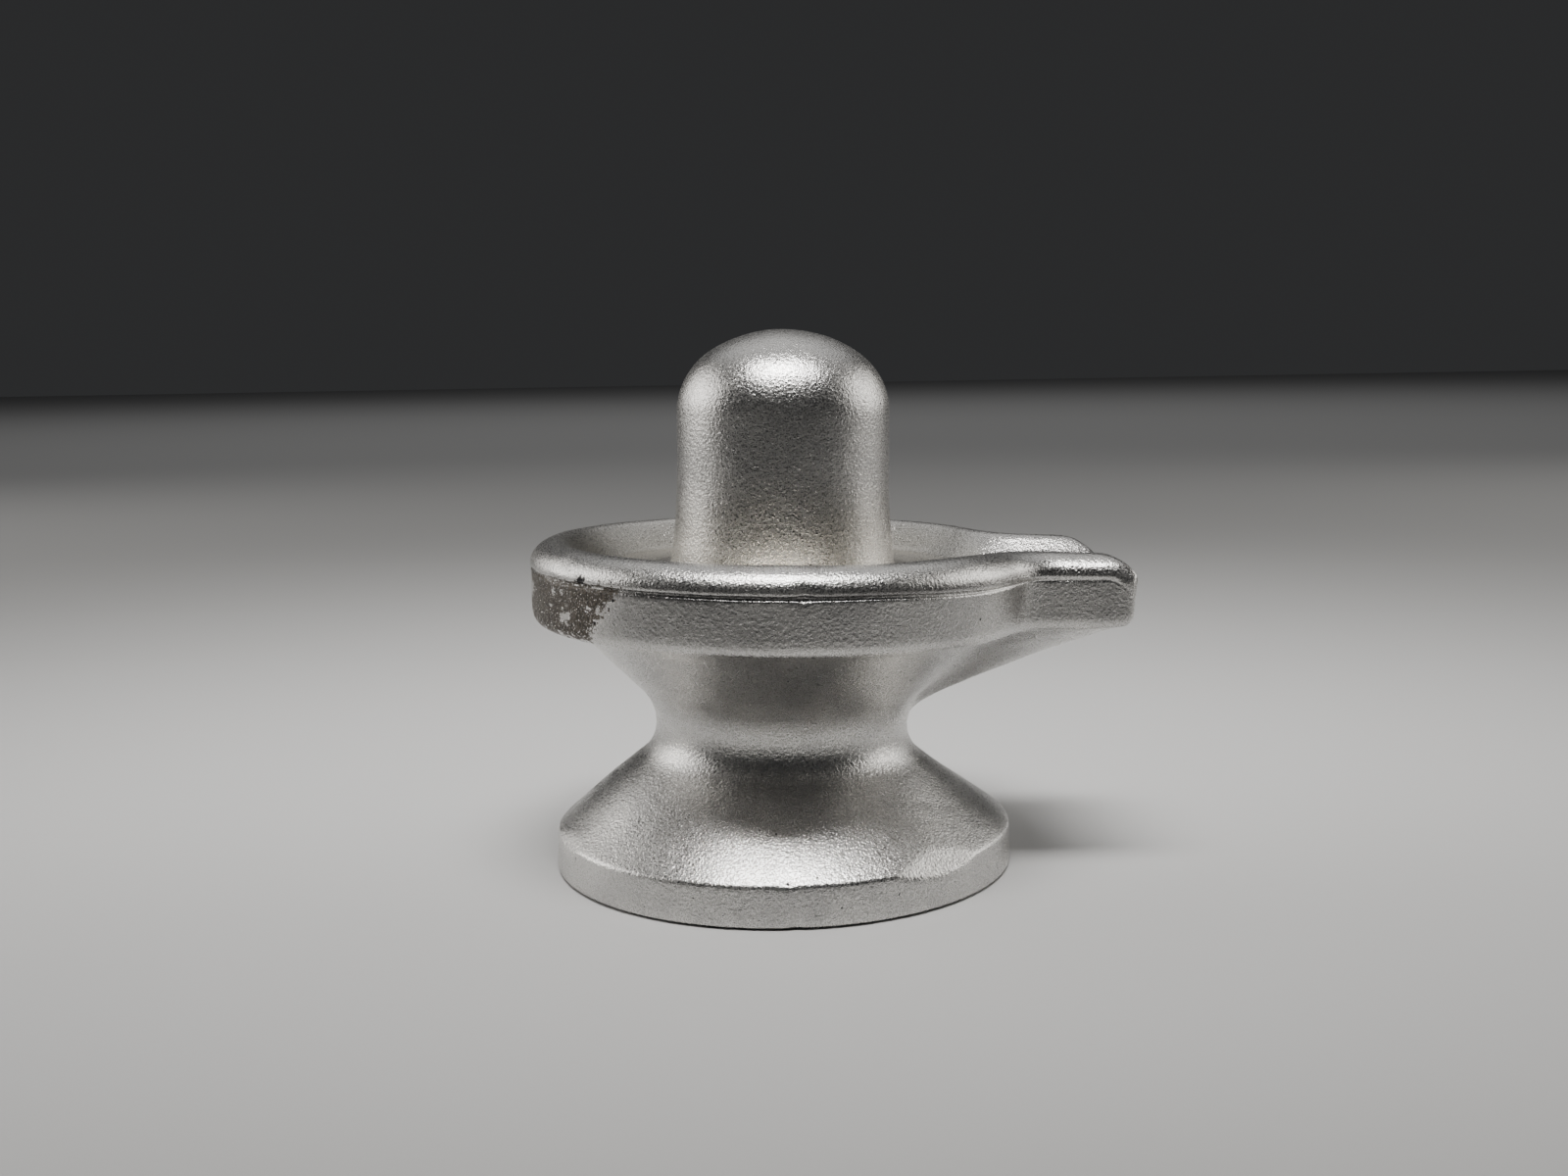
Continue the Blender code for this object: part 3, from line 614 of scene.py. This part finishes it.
# Dark hollows where knocks have caught the edges, as place and radius, with ragged outlines
KNOCKS = (
    ((-16.25, -15.35, 27.85), 0.52),
    ((-15.8, -15.8, 28.1), 0.22),
    ((-17.1, -14.05, 28.6), 0.10),
    ((-17.9, -12.3, 29.35), 0.16),
    ((-17.4, 1.2, 6.45), 0.40),
    ((-15.4, -1.0, 8.2), 0.34),
    ((12.2, -9.65, 7.3), 0.11),
    ((-1.94, -16.2, 7.05), 0.10),
    ((-0.96, -15.15, 7.9), 0.08),
    ((-0.57, -16.55, 6.8), 0.10),
    ((0.3, -20.3, 3.7), 0.16),
    ((1.0, -20.75, 0.35), 0.12),
    ((-15.4, -16.2, 28.3), 0.12),
    ((-13.2, -18.0, 26.6), 0.16),
    ((-13.6, -17.7, 25.9), 0.16),
    ((-14.9, -16.5, 24.6), 0.14),
)
KNOCK_RAGGED, KNOCK_INNER, KNOCK_OUTER = 2.4, 1.95, 2.2
knocks = pinholes
for place, radius in KNOCKS:
    apart = wired("VectorMath", {0: spot, 1: place}, 1, operation="DISTANCE")
    ragged_edge = weighed(ragged, radius * KNOCK_RAGGED, apart)
    hit = graded(ragged_edge, radius * KNOCK_INNER, radius * KNOCK_OUTER, 1.0, 0.0)
    knocks = wired("Math", {0: knocks, 1: hit}, operation="MAXIMUM")

# Where the metal is bare: the noise and the grain break up the patch, and specks of skin stay on it
WORN_WEIGHT, GRAIN_WEIGHT, BARE_FROM, BARE_FULL = 0.8, 0.65, 1.21, 1.27
SPECK_FROM, SPECK_FULL = 0.63, 0.68
speckled = weighed(worn, WORN_WEIGHT, product(grain, GRAIN_WEIGHT))
bare = graded(total(speckled, rubbed_share), BARE_FROM, BARE_FULL)
bare = product(bare, graded(sparkle, SPECK_FROM, SPECK_FULL, 1.0, 0.0))

# Colour and gloss, from the clean skin over its yellowing, grain and painted shade to the bare metal and the
# pits
GRAIN_DARKEST, PAINTED_SHADE_STRENGTH = 0.45, 0.7
tone = blended(graded(cloud, 0.35, 0.68), SILVER_LIGHT, SILVER_DULL)
tone = blended(product(yellow_share, cloud), tone, SILVER_YELLOW)
tone = blended(graded(sparkle, 0.60, 0.36, 0.0, GRAIN_DARKEST), tone, GRAIN_SHADE)
# Painted shade: the groove and the shaft's corner are darkened here
tone = blended(product(painted_shade_share, PAINTED_SHADE_STRENGTH), tone, PAINTED_SHADE_COLOUR)
bare_tone = blended(graded(grain, 0.38, 0.62), BARE_DARK, BARE_LIGHT)
tone = blended(bare, tone, bare_tone)
tone = blended(knocks, tone, PIT_COLOUR)
links.new(tone, shader.inputs["Base Color"])
gloss = graded(sparkle, 0.34, 0.66, SKIN_ROUGHEST, SKIN_SMOOTHEST)
gloss = wired("Mix", {0: bare, 2: gloss, 3: BARE_ROUGHNESS}, 0, data_type="FLOAT")
links.new(gloss, shader.inputs["Roughness"])

# Heights are millimetres: the grain itself, softer slow bumps, the step down to the bare metal, the pits
GRAIN_HEIGHT, COARSE_HEIGHT, SPARKLE_HEIGHT, BARE_DEPTH, PIT_DEPTH = 0.064, 0.012, 0.02, 0.05, 0.10
height = weighed(grain, GRAIN_HEIGHT, product(coarse, COARSE_HEIGHT))
height = weighed(sparkle, SPARKLE_HEIGHT, height)
height = weighed(bare, -BARE_DEPTH, height)
height = weighed(knocks, -PIT_DEPTH, height)
skin = wired("Bump", {"Strength": 1.0, "Distance": MM, "Height": height})
links.new(skin, shader.inputs["Normal"])
casting.data.materials.clear()
casting.data.materials.append(silver)
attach(casting, "root")
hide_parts("shiva_lingam")
